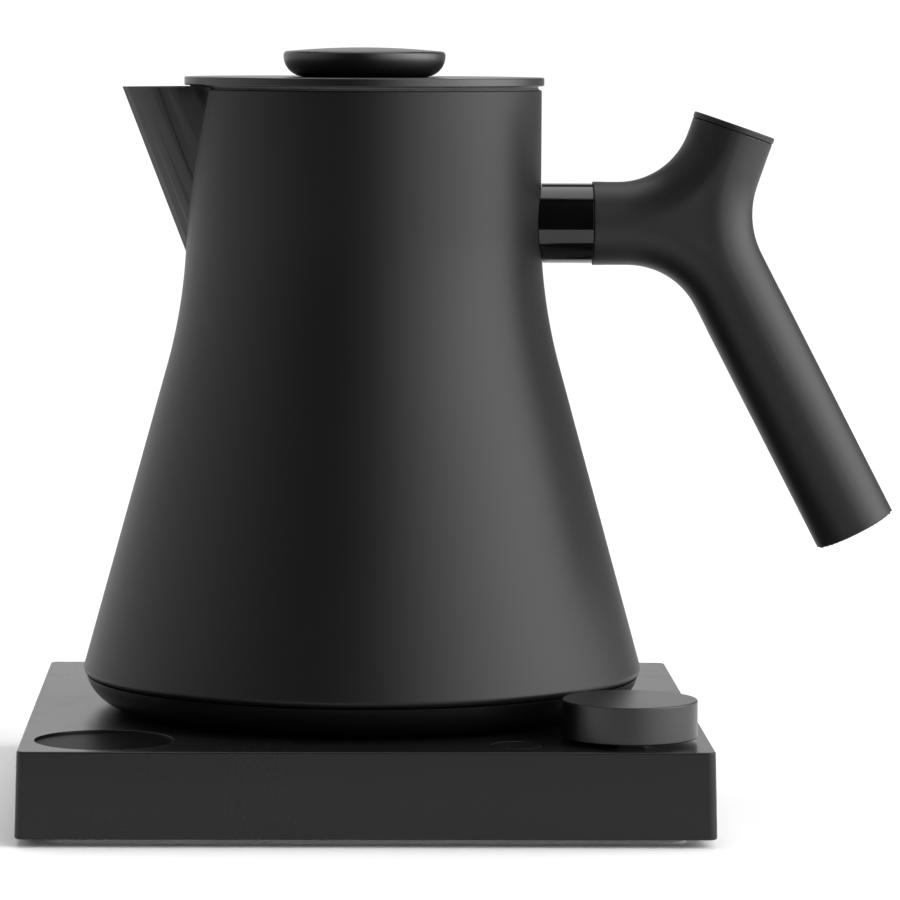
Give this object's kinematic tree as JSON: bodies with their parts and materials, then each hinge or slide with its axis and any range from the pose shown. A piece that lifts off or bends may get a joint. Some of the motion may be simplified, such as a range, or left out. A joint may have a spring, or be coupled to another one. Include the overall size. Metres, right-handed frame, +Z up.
{
  "type": "electric kettle",
  "caption": "Matte black pour-over kettle with a pointed spout, forked handle and lift-off lid, on a square power base with a round window, turning knob and button.",
  "frame": {"origin": "centre of the pad's resting face, under the base and on the kettle's own axis", "axes": "+Z up, +X from the spout towards the handle, -Y towards the window and knob at the front"},
  "size_m": [0.2251, 0.1748, 0.1959],
  "materials": {
    "body_black": "fine matte black powder coat",
    "moulded_black": "matte black moulded plastic",
    "deck_black": "satin black moulded housing with a fine spark texture",
    "gloss_black": "polished black",
    "window_smoke": "smoked display window, satin",
    "knob_black": "satin black knob",
    "pad_rubber": "matte rubber pad",
    "silicone_grey": "grey silicone",
    "silicone_red": "red-brown silicone",
    "steel_bright": "brushed stainless steel",
    "steel_zinc": "zinc-plated steel",
    "aluminium_plain": "plain rolled aluminium",
    "contact_brass": "plain brass contact",
    "board_green": "green solder mask",
    "part_blue": "blue component case",
    "part_yellow": "yellow winding tape",
    "part_cream": "cream moulding",
    "part_dark": "dark component moulding"
  },
  "bodies": {
    "power_base": {"base_housing": "deck_black", "bottom_plate": "moulded_black", "nonslip_pad": "pad_rubber", "base_screws": "steel_zinc", "base_connector": "moulded_black", "connector_contacts": "contact_brass", "display_bezel": "moulded_black", "display_window": "window_smoke", "display_module": "part_dark", "control_board": "board_green", "board_screws": "steel_zinc", "buzzer": "part_dark", "encoder_body": "part_dark", "encoder_nut": "steel_zinc", "button_switch": "part_dark", "power_board": "board_green", "power_relay": "part_blue", "transformer": "part_yellow", "filter_capacitor": "part_blue", "terminal_block": "part_cream", "cord_gland": "moulded_black"},
    "encoder_ring": {"encoder_rotor": "part_dark"},
    "knob": {"control_knob": "knob_black", "encoder_shaft": "steel_zinc"},
    "button": {"select_button": "moulded_black", "switch_plunger": "part_dark"},
    "kettle_coupler": {"kettle_socket": "moulded_black", "socket_contacts": "contact_brass"},
    "kettle": {"kettle_body": "body_black", "spout": "body_black", "bottom_cover": "moulded_black", "cover_screws": "steel_zinc", "heater_plate": "steel_bright", "heat_spreader": "aluminium_plain", "heating_element": "steel_zinc", "element_terminals": "steel_zinc", "thermal_cutout": "part_cream", "temperature_probe": "steel_bright", "probe_seal": "silicone_red", "handle_bracket": "steel_bright", "handle_ferrule": "gloss_black", "handle_shell": "knob_black", "handle_weight": "steel_zinc", "grip_plug": "knob_black", "handle_screw": "steel_zinc", "handle_cap": "knob_black"},
    "lid": {"lid_plate": "body_black", "lid_gasket": "silicone_grey", "lid_plug": "moulded_black", "lid_knob": "moulded_black", "lid_screw": "steel_zinc"}
  },
  "joints": [
    {"name": "knob_turn", "type": "hinge", "parent": "power_base", "child": "encoder_ring", "pos_m": [0.0659, -0.0659, 0.02], "axis": [0, 0, 1], "continuous": true},
    {"name": "knob_press", "type": "slide", "parent": "encoder_ring", "child": "knob", "axis": [0, 0, -1], "range_m": [0, 0.0006], "stiffness_N_per_m": 2000, "springref_m": -0.0005},
    {"name": "button_press", "type": "slide", "parent": "power_base", "child": "button", "axis": [0, 0, -1], "range_m": [0, 0.0005], "stiffness_N_per_m": 2000, "springref_m": -0.0005},
    {"name": "kettle_lift", "type": "slide", "parent": "power_base", "child": "kettle_coupler", "axis": [0, 0, 1], "range_m": [0, 0.08]},
    {"name": "kettle_swivel", "type": "hinge", "parent": "kettle_coupler", "child": "kettle", "pos_m": [0, 0, 0.05], "axis": [0, 0, 1], "continuous": true},
    {"name": "lid_lift", "type": "slide", "parent": "kettle", "child": "lid", "axis": [0, 0, 1], "range_m": [0, 0.06]}
  ]
}
